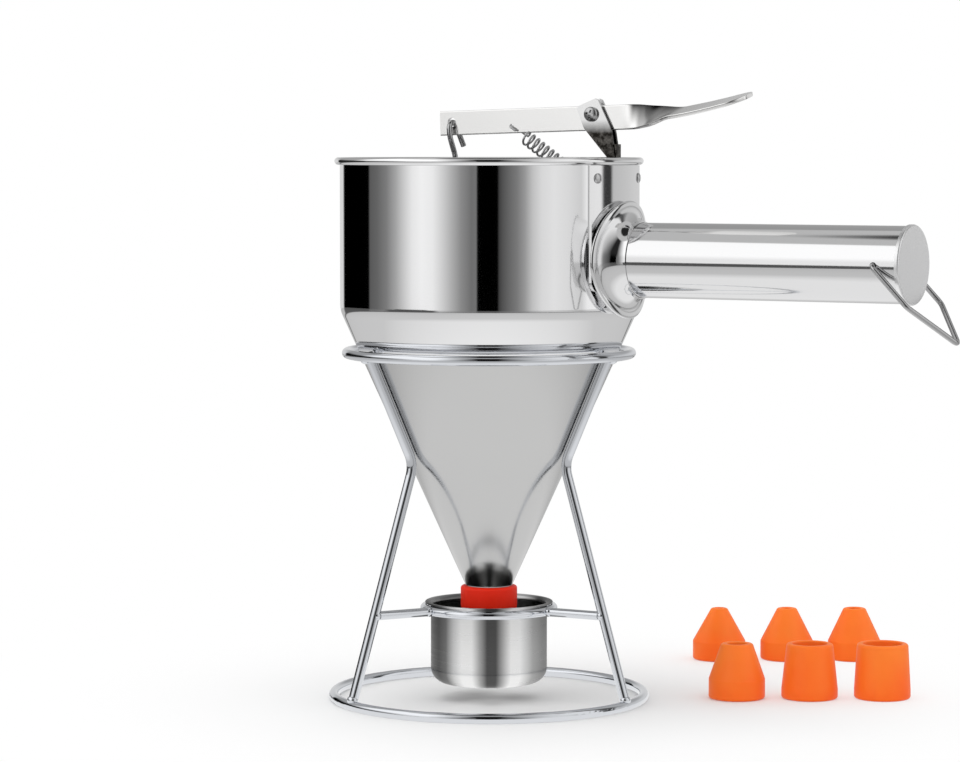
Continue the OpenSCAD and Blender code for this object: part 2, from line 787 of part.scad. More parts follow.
// Half of a hook, from its tail round the hole to where the coil starts, along the spring's line
hook_half = concat(
    [[hook_bend + 1.2 * spring_wire, -hook_bend, 0]],
    [for (a = [-90:30:90]) [hook_bend - hook_bend * cos(a), hook_bend * sin(a), 0]],
    [[lead * 0.5, hook_bend, 0], [lead * 0.78, 0.5 * (hook_bend + coil_r), 0]]);
coil_points = [for (i = [0:turns * curl_rings]) let (a = 360 * i / curl_rings)
    [lead + coil_l * i / (turns * curl_rings), coil_r * cos(a), coil_r * sin(a)]];
spring_points = concat(hook_half, coil_points,
    [for (i = [len(hook_half) - 1:-1:0]) [spring_l - hook_half[i][0], hook_half[i][1], 0]]);

// Least gap between turns that lie at least half a curl apart along the wire
far_step = curl_rings / 2 + 1;
spring_gap = min([for (i = [0:len(spring_points) - 1], j = [i + far_step:1:len(spring_points) - 1])
    norm(spring_points[i] - spring_points[j])]) - spring_wire;
echo(least_gap_of_spring_to_itself = spring_gap);

function heading(p, i) = unit(p[min(i + 1, len(p) - 1)] - p[max(i - 1, 0)]);
function carried(e, t) = unit(e - (e * t) * t);

// Rings of a round wire along the points p, each carried on from the one before
function wire_rings(p, r) =
    let (first = carried([0, 0, 1], heading(p, 0)),
        sides = [for (i = 0, e = first; i < len(p); i = i + 1,
            e = i < len(p) ? carried(e, heading(p, i)) : e) e])
    [for (i = [0:len(p) - 1]) let (t = heading(p, i), e = sides[i], f = cross(t, e))
        [for (k = [0:wire_sides - 1]) let (a = 360 * k / wire_sides) p[i] + r * (cos(a) * e + sin(a) * f)]];

module valve_spring() {
    color("gray")
        translate(spring_from)
            rotate([0, spring_dip, 0])
                tube_mesh(wire_rings(spring_points, spring_wire / 2));
}

base_ring();
top_ring();
leg(leg_turns[0]);  // leg_handle_side
leg(leg_turns[1]);  // leg_left
leg(leg_turns[2]);  // leg_right
cup_ring();
cup_struts();
drip_cup();
funnel_body();
outlet_spigot();
mounted_nozzle();
backing_plate();
handle_flange();
handle_tube();
handle_cap();
hanging_bail();
lever_bracket();
bracket_rivets();
pivot_screw();
pivot_nut();
thumb_lever();
valve_rod();
valve_plug();
valve_spring();
spare(0);  // nozzle_fine
spare(1);  // nozzle_small
spare(2);  // nozzle_medium
spare(3);  // nozzle_large
spare(4);  // nozzle_wide
spare(5);  // nozzle_full
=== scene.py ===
import json
import math

import bmesh
import bpy
from mathutils import Matrix, Vector


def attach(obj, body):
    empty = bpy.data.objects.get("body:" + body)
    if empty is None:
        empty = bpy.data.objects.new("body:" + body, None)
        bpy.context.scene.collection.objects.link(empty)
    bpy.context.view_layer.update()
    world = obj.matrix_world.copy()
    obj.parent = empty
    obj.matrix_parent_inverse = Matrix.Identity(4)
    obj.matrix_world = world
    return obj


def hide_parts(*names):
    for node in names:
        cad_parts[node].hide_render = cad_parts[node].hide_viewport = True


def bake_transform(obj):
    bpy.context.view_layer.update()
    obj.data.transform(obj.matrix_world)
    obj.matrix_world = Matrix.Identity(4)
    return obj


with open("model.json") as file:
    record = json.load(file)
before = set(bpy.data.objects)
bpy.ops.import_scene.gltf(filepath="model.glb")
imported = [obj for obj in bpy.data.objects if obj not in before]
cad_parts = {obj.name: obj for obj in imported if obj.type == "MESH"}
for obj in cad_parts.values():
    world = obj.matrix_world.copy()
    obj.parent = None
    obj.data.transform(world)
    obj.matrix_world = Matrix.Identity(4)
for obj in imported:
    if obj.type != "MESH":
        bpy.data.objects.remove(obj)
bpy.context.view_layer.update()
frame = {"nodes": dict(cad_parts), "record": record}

print("frame loaded")
mm = 0.001
mergeDistance = 0.002 * mm


# helpers for materials, whose lengths are in metres
def startMaterial(name, metallic=1):
    material = bpy.data.materials.new(name)
    material.use_nodes = True
    tree = material.node_tree
    tree.nodes.clear()
    output = tree.nodes.new("ShaderNodeOutputMaterial")
    shader = tree.nodes.new("ShaderNodeBsdfPrincipled")
    shader.inputs["Metallic"].default_value = metallic
    tree.links.new(shader.outputs["BSDF"], output.inputs["Surface"])
    return material, tree, shader


def feed(tree, value, target):
    # a value is another node's output, a colour or a number
    if isinstance(value, bpy.types.NodeSocket):
        tree.links.new(value, target)
    elif isinstance(value, (list, tuple)):
        target.default_value = (*value, 1)
    else:
        target.default_value = value


def objectPattern(tree, scale):
    coords = tree.nodes.new("ShaderNodeTexCoord")
    mapping = tree.nodes.new("ShaderNodeMapping")
    mapping.inputs["Scale"].default_value = scale
    tree.links.new(coords.outputs["Object"], mapping.inputs["Vector"])
    return mapping.outputs["Vector"]


def objectPlace(tree):
    split = tree.nodes.new("ShaderNodeSeparateXYZ")
    tree.links.new(objectPattern(tree, (1, 1, 1)), split.inputs["Vector"])
    return split.outputs


def noise(tree, scale, detail=3, roughness=0.5):
    node = tree.nodes.new("ShaderNodeTexNoise")
    node.inputs["Scale"].default_value = 1
    node.inputs["Detail"].default_value = detail
    node.inputs["Roughness"].default_value = roughness
    tree.links.new(objectPattern(tree, scale), node.inputs["Vector"])
    return node.outputs["Fac"]


def grain(tree, scale):
    return noise(tree, scale, detail=4, roughness=0.6)


def spread(tree, value, low, high, fromLow=0.3, fromHigh=0.7):
    node = tree.nodes.new("ShaderNodeMapRange")
    node.inputs["From Min"].default_value = fromLow
    node.inputs["From Max"].default_value = fromHigh
    node.inputs["To Min"].default_value = low
    node.inputs["To Max"].default_value = high
    tree.links.new(value, node.inputs["Value"])
    return node.outputs["Result"]


def objectHeight(tree, low, high, fromLow, fromHigh):
    return spread(tree, objectPlace(tree)["Z"], low, high, fromLow, fromHigh)


def ownAttribute(tree, name):
    node = tree.nodes.new("ShaderNodeAttribute")
    node.attribute_name = name
    return node.outputs["Fac"]


def combine(tree, operation, *values):
    node = tree.nodes.new("ShaderNodeMath")
    node.operation = operation
    for value, target in zip(values, node.inputs):
        feed(tree, value, target)
    return node.outputs["Value"]


def blendColours(tree, factor, first, second, blend="MIX"):
    node = tree.nodes.new("ShaderNodeMix")
    node.data_type = "RGBA"
    node.blend_type = blend
    feed(tree, factor, node.inputs["Factor"])
    feed(tree, first, node.inputs["A"])
    feed(tree, second, node.inputs["B"])
    return node.outputs["Result"]


def bump(tree, shader, height, strength, distance=0.05 * mm):
    node = tree.nodes.new("ShaderNodeBump")
    node.inputs["Strength"].default_value = strength
    node.inputs["Distance"].default_value = distance
    tree.links.new(height, node.inputs["Height"])
    tree.links.new(node.outputs["Normal"], shader.inputs["Normal"])


# plain steel, clouded a little so that no surface is one even tone
plainSteel = {
    "cloud": (14, 14, 14),
    "darkShare": 0.96,
    "smudge": 0.02,
}


def steel(name, tone, roughness, grainScale, strength, tint=(1, 1, 1.005)):
    material, tree, shader = startMaterial(name)
    broad = noise(tree, plainSteel["cloud"])
    light = [tone * part for part in tint]
    dark = [part * plainSteel["darkShare"] for part in light]
    smudge = plainSteel["smudge"]
    tree.links.new(blendColours(tree, broad, dark, light), shader.inputs["Base Color"])
    tree.links.new(spread(tree, broad, roughness - smudge, roughness + smudge), shader.inputs["Roughness"])
    bump(tree, shader, grain(tree, grainScale), strength)
    return material


# silicone, which glows a little and may grow paler upwards as painted light from above
plainSilicone = {
    "cloud": (40, 40, 40),
    "cloudShare": 0.5,
    "grain": (1500, 1500, 1500),
    "roughness": (0.42, 0.52),
    "glow": 0.15,
    "glowColour": (1, 0.3, 0.1),
    "glowDepth": 4 * mm,
    "bump": 0.25,
}


def silicone(name, dark, light, shine=0.32, rise=0):
    look = plainSilicone
    material, tree, shader = startMaterial(name, metallic=0)
    broad = noise(tree, look["cloud"])
    paler = broad
    # growing paler upwards is painted light falling from above
    if rise:
        share = look["cloudShare"]
        paler = combine(tree, "MULTIPLY_ADD", objectHeight(tree, 0, 1, 0, rise), 1 - share,
                        spread(tree, broad, 0, share))
    tree.links.new(blendColours(tree, paler, dark, light), shader.inputs["Base Color"])
    tree.links.new(spread(tree, broad, *look["roughness"]), shader.inputs["Roughness"])
    shader.inputs["Specular IOR Level"].default_value = shine
    shader.inputs["Subsurface Weight"].default_value = look["glow"]
    shader.inputs["Subsurface Radius"].default_value = look["glowColour"]
    shader.inputs["Subsurface Scale"].default_value = look["glowDepth"]
    bump(tree, shader, noise(tree, look["grain"], detail=2), look["bump"])
    return material


# funnel steel: a mirror bowl over a duller, darker cone
funnelFinish = {
    "cloud": (14, 14, 14),
    "bowl": ((0.88, 0.88, 0.885), (0.92, 0.92, 0.925)),
    "cone": ((0.585, 0.585, 0.583), (0.62, 0.618, 0.615)),
    "border": (155.5 * mm, 157.5 * mm),
    "roughness": (0.055, 0.15),
    "grain": (30, 30, 1500),
    "bump": 0.025,
    "bumpDepth": 0.03 * mm,
}


def funnelSteel(name, look):
    material, tree, shader = startMaterial(name)
    cone = objectHeight(tree, 1, 0, *look["border"])
    broad = noise(tree, look["cloud"])
    bowlColour = blendColours(tree, broad, *look["bowl"])
    coneColour = blendColours(tree, broad, *look["cone"])
    tree.links.new(blendColours(tree, cone, bowlColour, coneColour), shader.inputs["Base Color"])
    tree.links.new(spread(tree, cone, *look["roughness"], 0, 1), shader.inputs["Roughness"])
    bump(tree, shader, grain(tree, look["grain"]), look["bump"], look["bumpDepth"])
    return material


# cup steel, brushed round, with upright bands that stand for what it reflects
cupFinish = {
    # degrees round the cup from the handle's side, and tone
    "bands": [(-178, 0.36), (-160, 0.36), (-146, 0.1), (-119, 0.09), (-107, 0.2), (-97, 0.7), (-88, 1),
              (-77, 1), (-69, 0.45), (-62, 0.1), (-53, 0.1), (-46, 0.5), (-38, 1), (-28, 1), (-12, 0.46),
              (4, 0.28), (22, 0.12), (60, 0.1), (80, 0.7), (100, 0.95), (125, 0.3), (150, 0.2), (178, 0.3)],
    "blueShare": 0.995,
    "streaks": (60, 60, 900),
    "streakTones": ((0.9, 0.9, 0.9), (1, 1, 1)),
    "roughness": (0.26, 0.34),
    "stretch": 0.8,
    "grain": (20, 20, 2600),
    "bump": 0.12,
}


def cupSteel(name, look):
    material, tree, shader = startMaterial(name)
    shader.inputs["Anisotropic"].default_value = look["stretch"]
    place = objectPlace(tree)
    turn = combine(tree, "ARCTAN2", place["Y"], place["X"])
    bands = tree.nodes.new("ShaderNodeValToRGB")
    tree.links.new(spread(tree, turn, 0, 1, -math.pi, math.pi), bands.inputs["Fac"])
    stops = bands.color_ramp.elements
    for count, (angle, tone) in enumerate(look["bands"]):
        share = (angle + 180) / 360
        stop = stops[count] if count < 2 else stops.new(share)
        stop.position = share
        stop.color = (tone, tone, tone * look["blueShare"], 1)
    streaks = grain(tree, look["streaks"])
    streakColour = blendColours(tree, streaks, *look["streakTones"])
    tree.links.new(blendColours(tree, 1, bands.outputs["Color"], streakColour, "MULTIPLY"),
                   shader.inputs["Base Color"])
    tree.links.new(spread(tree, streaks, *look["roughness"]), shader.inputs["Roughness"])
    bump(tree, shader, grain(tree, look["grain"]), look["bump"])
    return material


# bracket steel, dark and specked at the foot of the ears
bracketFinish = {
    "cloud": (60, 60, 60),
    "light": ((0.86, 0.86, 0.86), (0.93, 0.93, 0.93)),
    "dark": ((0.018, 0.016, 0.014), (0.16, 0.15, 0.14)),
    "footTop": (255.5 * mm, 261.5 * mm),
    "footBottom": (243.2 * mm, 244.8 * mm),
    "specks": (450, 450, 450),
    "speckRange": (0.4, 0.75),
    "roughness": (0.12, 0.2),
    "grain": (700, 700, 700),
    "bump": 0.2,
}


def bracketSteel(name, look):
    material, tree, shader = startMaterial(name)
    broad = noise(tree, look["cloud"])
    foot = combine(tree, "MULTIPLY", objectHeight(tree, 1, 0, *look["footTop"]),
                   objectHeight(tree, 0, 1, *look["footBottom"]))
    light = blendColours(tree, broad, *look["light"])
    specks = spread(tree, noise(tree, look["specks"], roughness=0.6), 0, 1, *look["speckRange"])
    dark = blendColours(tree, specks, *look["dark"])
    tree.links.new(blendColours(tree, foot, light, dark), shader.inputs["Base Color"])
    tree.links.new(spread(tree, broad, *look["roughness"]), shader.inputs["Roughness"])
    bump(tree, shader, grain(tree, look["grain"]), look["bump"])
    return material


# lever steel, whose darker patch at the twist is a painted reflection, held in an attribute of the lever's
# own mesh
leverFinish = {
    "cloud": (14, 14, 14),
    "light": ((0.97, 0.965, 0.955), (1, 0.995, 0.985)),
    "paintedReflection": ((0.03, 0.03, 0.03), (0.09, 0.09, 0.09)),
    "roughness": (0.16, 0.2),
    "grain": (60, 60, 1600),
    "bump": 0.25,
}


def leverSteel(name, look):
    material, tree, shader = startMaterial(name)
    broad = noise(tree, look["cloud"])
    light = blendColours(tree, broad, *look["light"])
    dark = blendColours(tree, broad, *look["paintedReflection"])
    # the dark patch mixed in here is a painted reflection
    tree.links.new(blendColours(tree, ownAttribute(tree, "paintedReflection"), light, dark), shader.inputs["Base Color"])
    tree.links.new(spread(tree, broad, *look["roughness"]), shader.inputs["Roughness"])
    bump(tree, shader, grain(tree, look["grain"]), look["bump"])
    return material


# steel takes a tone, a roughness, and the grain's scale and strength
finishes = {
    "stand_wire": steel("platedWire", 0.78, 0.06, (300, 300, 300), 0.06, (0.96, 0.985, 1.03)),
    "cup_steel": cupSteel("brushedCup", cupFinish),
    "funnel_steel": funnelSteel("polishedFunnel", funnelFinish),
    "spigot_steel": steel("spigotSteel", 0.7, 0.14, (20, 20, 2000), 0.2),
    "red_silicone": silicone("redSilicone", (0.84, 0.016, 0.001), (0.94, 0.024, 0.002), 0.16),
    "plate_steel": steel("plateSteel", 0.82, 0.08, (400, 400, 60), 0.08),
    "flange_steel": steel("flangeSteel", 0.84, 0.07, (500, 500, 500), 0.06),
    "handle_steel": steel("polishedHandle", 0.83, 0.06, (1500, 8, 8), 0.04),
    "cap_steel": steel("satinCap", 0.98, 0.34, (900, 900, 900), 0.4),
    "bail_wire": steel("drawnWire", 0.52, 0.2, (900, 900, 900), 0.4),
    "bracket_steel": bracketSteel("pressedBracket", bracketFinish),
    "rivet_steel": steel("rivetSteel", 0.64, 0.26, (900, 900, 900), 0.3),
    "screw_steel": steel("turnedScrew", 0.55, 0.24, (900, 900, 900), 0.3),
    "lever_steel": leverSteel("satinLever", leverFinish),
    "rod_wire": steel("rodWire", 0.5, 0.2, (900, 900, 900), 0.3),
    "plug_rubber": silicone("darkPlug", (0.03, 0.014, 0.012), (0.045, 0.02, 0.016)),
    "spring_wire": steel("springWire", 0.58, 0.2, (900, 900, 900), 0.3),
    "orange_silicone": silicone("orangeSilicone", (1, 0.125, 0.004), (1, 0.225, 0.02), 0.22, 25 * mm),
}
slotOf = {part["node"]: part["material_slot"] for part in frame["record"]["subparts"]}
for nodeName, cadNode in frame["nodes"].items():
    finish = finishes[slotOf[nodeName]]
    for slot in cadNode.material_slots:
        slot.material = finish
    if not cadNode.material_slots:
        cadNode.data.materials.append(finish)
print("finishes set")


# helpers for new pieces, with profiles and places in millimetres
def arc(middle, radius, start, end, steps=10):
    angles = [math.radians(start + (end - start) * i / steps) for i in range(steps + 1)]
    return [(middle[0] + radius * math.cos(angle), middle[1] + radius * math.sin(angle)) for angle in angles]


def ramp(value, start, end):
    share = min(1, max(0, (value - start) / (end - start)))
    return share * share * (3 - 2 * share)


def heldStraight(profile, closed, margin=0.25, longest=4):
    # two more points near the ends of each long run keep its normals straight
    held = []
    count = len(profile)
    for i, (radius, height) in enumerate(profile):
        held.append((radius, height))
        if i == count - 1 and not closed:
            break
        nextRadius, nextHeight = profile[(i + 1) % count]
        length = math.hypot(nextRadius - radius, nextHeight - height)
        if length > longest:
            for share in (margin / length, 1 - margin / length):
                held.append((radius + (nextRadius - radius) * share, height + (nextHeight - height) * share))
    return held


def spinProfile(profile, steps, closed=False):
    # this one takes metres
    mesh = bmesh.new()
    points = [mesh.verts.new((radius, 0, height)) for radius, height in profile]
    pairs = list(zip(points, points[1:])) + ([(points[-1], points[0])] if closed else [])
    edges = [mesh.edges.new(pair) for pair in pairs]
    bmesh.ops.spin(mesh, geom=points + edges, cent=(0, 0, 0), axis=(0, 0, 1), dvec=(0, 0, 0),
                   angle=2 * math.pi, steps=steps, use_merge=True, use_duplicate=False)
    return mesh


def lathe(profile, steps=144, closed=True):
    held = heldStraight(profile, closed)
    return spinProfile([(radius * mm, height * mm) for radius, height in held], steps, closed)


def loft(rings):
    mesh = bmesh.new()
    loops = [[mesh.verts.new([value * mm for value in point]) for point in ring] for ring in rings]
    count = len(rings[0])
    for before, after in zip(loops, loops[1:]):
        for i in range(count):
            j = (i + 1) % count
            mesh.faces.new((before[i], before[j], after[j], after[i]))
    mesh.faces.new(loops[0])
    mesh.faces.new(list(reversed(loops[-1])))
    return mesh


def wireRings(path, radius, sides):
    rings = []
    side = Vector((0, 1, 0))
    turns = [2 * math.pi * k / sides for k in range(sides)]
    for i, point in enumerate(path):
        ahead = (path[min(i + 1, len(path) - 1)] - path[max(i - 1, 0)]).normalized()
        side = (side - side.dot(ahead) * ahead).normalized()
        across = ahead.cross(side)
        rings.append([point + radius * (math.cos(turn) * side + math.sin(turn) * across) for turn in turns])
    return rings


def newObject(name, mesh):
    data = bpy.data.meshes.new(name)
    mesh.to_mesh(data)
    mesh.free()
    made = bpy.data.objects.new(name, data)
    bpy.context.scene.collection.objects.link(made)
    return made


def makePiece(name, mesh, slotName, body=None, replaced=(), sharp=35):
    bmesh.ops.remove_doubles(mesh, verts=mesh.verts, dist=mergeDistance)
    bmesh.ops.recalc_face_normals(mesh, faces=mesh.faces)
    piece = newObject(name, mesh)
    piece.data.polygons.foreach_set("use_smooth", [True] * len(piece.data.polygons))
    piece.data.set_sharp_from_angle(angle=math.radians(sharp))
    piece.data.materials.append(finishes[slotName])
    if body:
        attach(piece, body)
    if replaced:
        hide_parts(*replaced)
    return piece


# funnel with a rolled rim
funnel = {
    "radius": 67,
    "wall": 1,
    "shoulderRadius": 12,
    "shoulderMiddle": 178.907,
    "coneAngle": 24.2947,
    "coneEnd": (10.8, 51.8236),
    "endBevel": 0.3,
    "rimTop": 244.824,
    "rimRadius": 1.7,
    "curlEnd": -110,
    "curlSteps": (30, 24),
}


def addFunnel(size):
    wall, shoulder, cone = size["wall"], size["shoulderRadius"], size["coneAngle"]
    middle = (size["radius"] - shoulder, size["shoulderMiddle"])
    skin = wall / math.cos(math.radians(cone))
    rim = size["rimRadius"]
    curl = (size["radius"] - wall + rim, size["rimTop"] - rim)
    outerSteps, innerSteps = size["curlSteps"]
    endRadius, endHeight = size["coneEnd"]
    bevel = size["endBevel"]
    profile = arc(middle, shoulder - wall, -cone, 0)
    profile += arc(curl, rim, 180, size["curlEnd"], outerSteps)
    profile += arc(curl, rim - wall, size["curlEnd"], 180, innerSteps)
    profile += arc(middle, shoulder, 0, -cone)
    profile += [(endRadius, endHeight + bevel), (endRadius - bevel, endHeight), (endRadius - skin, endHeight)]
    makePiece("funnelShell", lathe(profile, steps=192), "funnel_steel", "funnel", ["funnel_body"])


addFunnel(funnel)

# drip cup with a turned-out lip
cup = {
    "radius": 26.3,
    "wall": 0.8,
    "height": 37,
    "floor": 7.4,
    "footRidge": [(8, 0), (9, 0.25), (10, 0)],
    "corner": 7,
    "lip": 2.6,
    "lipBend": 1.2,
}


def addCup(size):
    radius, wall, height, bend = size["radius"], size["wall"], size["height"], size["lipBend"]
    cornerMiddle = (radius - size["corner"], size["corner"])
    bendMiddle = (radius + bend, height - wall - bend)
    lipMiddle = (radius + size["lip"] - wall / 2, height - wall / 2)
    profile = [(0, 0)] + size["footRidge"]
    profile += arc(cornerMiddle, size["corner"], -90, 0)
    profile += arc(bendMiddle, bend, 180, 90, steps=6)
    profile += arc(lipMiddle, wall / 2, -90, 90, steps=8)
    profile += arc(bendMiddle, bend + wall, 90, 180, steps=8)
    profile += arc(cornerMiddle, size["corner"] - wall, 0, -90)
    profile += [(0, wall)]
    mesh = lathe([(max(r, 0), z + size["floor"]) for r, z in profile], closed=False)
    makePiece("cupShell", mesh, "cup_steel", "cup", ["drip_cup"])


addCup(cup)

# silicone nozzles, six spare ones in two rows and one on the spigot
nozzle = {
    "radius": 12.79,
    "height": 25,
    "socket": 9.6,
    "socketDepth": 14.5,
    "socketBevel": 0.4,
    "roofBevel": (0.5, 0.3),
    "roofSlope": 0.6,
    "edge": 1.28,
    "foot": 9,
    "footBlend": 0.3,
    "mountedTop": 51.5236,
    "mountedForm": (0.86, 0.625, 1),
    "column": 112.5,
    "pitch": 33,
    "row": 120,
    "turn": 30,
}
# shares of the radius at the tip and its hole, and of the foot
nozzleForms = {
    "nozzle_fine": (0.33, 0.15, 1),
    "nozzle_small": (0.39, 0.19, 1),
    "nozzle_medium": (0.44, 0.24, 1),
    "nozzle_large": (0.58, 0.36, 1),
    "nozzle_wide": (0.83, 0.62, 0.5),
    "nozzle_full": (0.91, 0.7, 0.5),
}


def nozzleProfile(size, tipShare, holeShare, footShare):
    radius, height, edge, socket = size["radius"], size["height"], size["edge"], size["socket"]
    foot = size["foot"] * footShare
    tip = radius * tipShare
    hole = radius * holeShare
    lean = math.degrees(math.atan((radius - tip) / (height - foot)))
    roof = min(size["socketDepth"], height - (socket - hole) - 2 * edge)
    bevel = size["socketBevel"]
    roofIn, roofUp = size["roofBevel"]
    profile = [(socket, bevel), (socket + bevel, 0)]
    profile += arc((radius - edge, edge), edge, -90, 0, steps=6)
    profile += arc((radius - edge, foot - size["footBlend"]), edge, 0, lean, steps=3)
    profile += arc((tip - edge * math.cos(math.radians(lean)), height - edge), edge, lean, 90, steps=8)
    profile += arc((hole + edge / 2, height - edge / 2), edge / 2, 90, 180, steps=5)
    profile += [(hole, roof + size["roofSlope"] * (socket - hole))]
    profile += [(socket - roofIn, roof + roofUp), (socket, roof - bevel)]
    return profile


def addNozzle(name, profile, move, slotName, body, node):
    mesh = lathe(profile, steps=96)
    mesh.transform(move)
    piece = makePiece(name, mesh, slotName, body, [node])
    piece.visible_glossy = False  # the photograph's steel shows none of their colour


def addNozzles(size):
    turn = Matrix.Rotation(math.radians(size["turn"]), 4, "Z")
    for count, (name, form) in enumerate(nozzleForms.items()):
        place = (size["column"] + count % 3 * size["pitch"], size["row"] if count < 3 else 0, 0)
        move = turn @ Matrix.Translation(Vector(place) * mm)
        addNozzle(name + "Moulded", nozzleProfile(size, *form), move, "orange_silicone", "stand", name)
    hung = [(r, size["mountedTop"] - z) for r, z in nozzleProfile(size, *size["mountedForm"])]
    addNozzle("mountedNozzleMoulded", hung, Matrix(), "red_silicone", "funnel", "mounted_nozzle")


addNozzles(nozzle)
print("turned pieces made")

# flange round the handle's root, a pressed dish whose rim follows the plate
flange = {
    "axisHeight": 199.824,
    "face": 72.04,
    "radius": 26,
    "depth": 2.88,
    "sheet": 1.2,
    "dishSheets": 3,
    "slopeSheets": (1.5, 1.75),
    "hemSheets": 0.7,
    "neckRadius": 21.9,
    "neckLength": 6,
    "neckWall": 0.5,
    "neckPoints": 14,
    "gripRadius": 16.5,
    "gripGap": 0.1,
    "step": 0.45,
    "stepPlaces": [(2.6, 0), (3, 0.3), (3.3, 1)],
    "flatEdge": 3,
    "plateRadius": 68.42,
    "backRadius": 20.5,
}


def bendToPlate(mesh, size):
    # the back closes on the curved plate, and the face bends more towards its rim
    inner = size["gripRadius"] + size["gripGap"]
    back = size["face"] - size["depth"]
    for vert in mesh.verts:
        plate = math.sqrt((size["plateRadius"] * mm) ** 2 - vert.co.y ** 2)
        if vert.co.x < (back + size["sheet"]) * mm:
            vert.co.x += plate - back * mm
        else:
            away = math.hypot(vert.co.y / mm, vert.co.z / mm - size["axisHeight"])
            share = ramp(away, inner, size["radius"] - size["flatEdge"])
            vert.co.x += share * (plate - size["plateRadius"] * mm)


def addFlange(size):
    face, sheet, radius, step = size["face"], size["sheet"], size["radius"], size["step"]
    inner = size["gripRadius"] + size["gripGap"]
    hem = size["hemSheets"] * sheet
    slopeIn, slopeDown = size["slopeSheets"]
    back = face - size["depth"]
    profile = [(inner, face - sheet), (radius - size["dishSheets"] * sheet, face - sheet)]
    profile += arc((size["backRadius"] - sheet / 2, back + sheet / 2), sheet / 2, 135, 315, steps=8)
    profile += [(radius - slopeIn * sheet, face - slopeDown * sheet)]
    profile += arc((radius - hem, face - hem), hem, -80, 90)
    profile += [(radius - away, face - step * share) for away, share in size["stepPlaces"]]
    narrowing = size["neckRadius"] - size["gripRadius"] - size["neckWall"]
    for i in range(size["neckPoints"] + 1):
        turn = math.pi / 2 * i / size["neckPoints"]
        profile.append((size["neckRadius"] - narrowing * math.sin(turn),
                        face - step + (size["neckLength"] + step) * (1 - math.cos(turn))))
    profile += [(inner, face + size["neckLength"])]
    mesh = lathe(profile, steps=128)
    lift = Matrix.Translation((0, 0, size["axisHeight"] * mm))
    mesh.transform(lift @ Matrix.Rotation(math.pi / 2, 4, "Y"))
    bendToPlate(mesh, size)
    makePiece("flangeDish", mesh, "flange_steel", "funnel", ["handle_flange"])


addFlange(flange)

# thumb lever: a flat strip on edge that twists into a thumb tab
lever = {
    "pivot": (53.6, 263.824),
    "tilt": 1.5,
    "start": -25.05,
    "firstRing": 0.5,
    "stripRings": 12,
    "end": 66.4,
    "middle": 262.064,
    "height": 11,
    "thickness": 1.8,
    "skin": 0.02,
    "corner": 0.4,
    "twist": 29,
    "twistRings": 110,
    "widenShares": (0.4, 1.2),
    "tab": 34,
    "tabWidth": 20,
    "tabRise": 7.3,
    "riseCurve": 1.5,
    "tabLean": 13,
    "tipShare": 0.45,
    "tipNarrowing": 0.9,
    "holes": [(53.6, 263.824, 4.16), (-19, 262.394, 4.25), (12, 259.644, 2.2)],
    "punchDepth": 6,
    # where the painted dark reflection begins and ends along the lever, how each edge slants and how soft it
    # is
    "reflectionStart": (72.5, 5, 3),
    "reflectionEnd": (85, 15, 4),
    "reflectionFoot": 0.5,
    "reflectionSide": 0.1,
}


def leverRing(size, x):
    run = size["twist"] + size["tab"]
    along = x - size["end"]
    lean = math.radians(size["tabLean"])
    roll = math.pi / 2 - (math.pi / 2 - lean) * ramp(along, 0, size["twist"])
    half = size["twist"] / 2
    rise = size["tabRise"] * max(0, (along - half) / (run - half)) ** size["riseCurve"]
    widening = ramp(along, *[share * size["twist"] for share in size["widenShares"]])
    width = size["height"] + (size["tabWidth"] - size["height"]) * widening
    tip = size["tipShare"] * size["tabWidth"]
    nearEnd = max(0, (along - run + tip) / tip)
    narrowing = size["tipNarrowing"]
    width *= math.sqrt(max(1 - narrowing, 1 - narrowing * nearEnd * nearEnd))
    corner = size["corner"]
    across = width / 2 - size["skin"] - corner
    through = size["thickness"] / 2 - size["skin"] - corner
    section = []
    for sideways, upwards, turn in ((1, 1, 0), (-1, 1, 90), (-1, -1, 180), (1, -1, 270)):
        section += arc((sideways * across, upwards * through), corner, turn, turn + 90, steps=4)
    return [(x, a * math.cos(roll) - b * math.sin(roll),
             size["middle"] + rise + a * math.sin(roll) + b * math.cos(roll))
            for a, b in heldStraight(section, True)]


def punched(mesh, size):
    blank = newObject("leverBlank", mesh)
    punches = []
    for x, z, diameter in size["holes"]:
        punch = bmesh.new()
        bmesh.ops.create_cone(punch, cap_ends=True, segments=48, radius1=diameter / 2 * mm,
                              radius2=diameter / 2 * mm, depth=size["punchDepth"] * mm)
        punch.transform(Matrix.Translation((x * mm, 0, z * mm)) @ Matrix.Rotation(math.pi / 2, 4, "X"))
        punches.append(newObject("leverPunch", punch))
        modifier = blank.modifiers.new("hole", "BOOLEAN")
        modifier.operation = "DIFFERENCE"
        modifier.solver = "EXACT"
        modifier.object = punches[-1]
    bpy.context.view_layer.update()
    graph = bpy.context.evaluated_depsgraph_get()
    data = bpy.data.meshes.new_from_object(blank.evaluated_get(graph))
    cut = bmesh.new()
    cut.from_mesh(data)
    bpy.data.meshes.remove(data)
    for helper in [blank] + punches:
        bpy.data.objects.remove(helper)
    return cut


# paints the twist's dark reflection into the lever's vertices as a mask
def paintTwistReflection(piece, size):
    start, startSlant, startSoft = size["reflectionStart"]
    end, endSlant, endSoft = size["reflectionEnd"]
    foot = size["reflectionFoot"]
    paintedReflection = piece.data.attributes.new("paintedReflection", "FLOAT", "POINT")
    for index, vert in enumerate(piece.data.vertices):
        x = vert.co.x / mm
        high = (vert.co.z / mm - size["middle"]) / size["height"]
        dark = ramp(x + startSlant * high, start, start + startSoft)
        dark *= 1 - ramp(x - endSlant * high, end, end + endSoft)
        dark *= foot + (1 - foot) * ramp(high, -0.5, 0.5)
        paintedReflection.data[index].value = dark if vert.normal.y < size["reflectionSide"] else 0


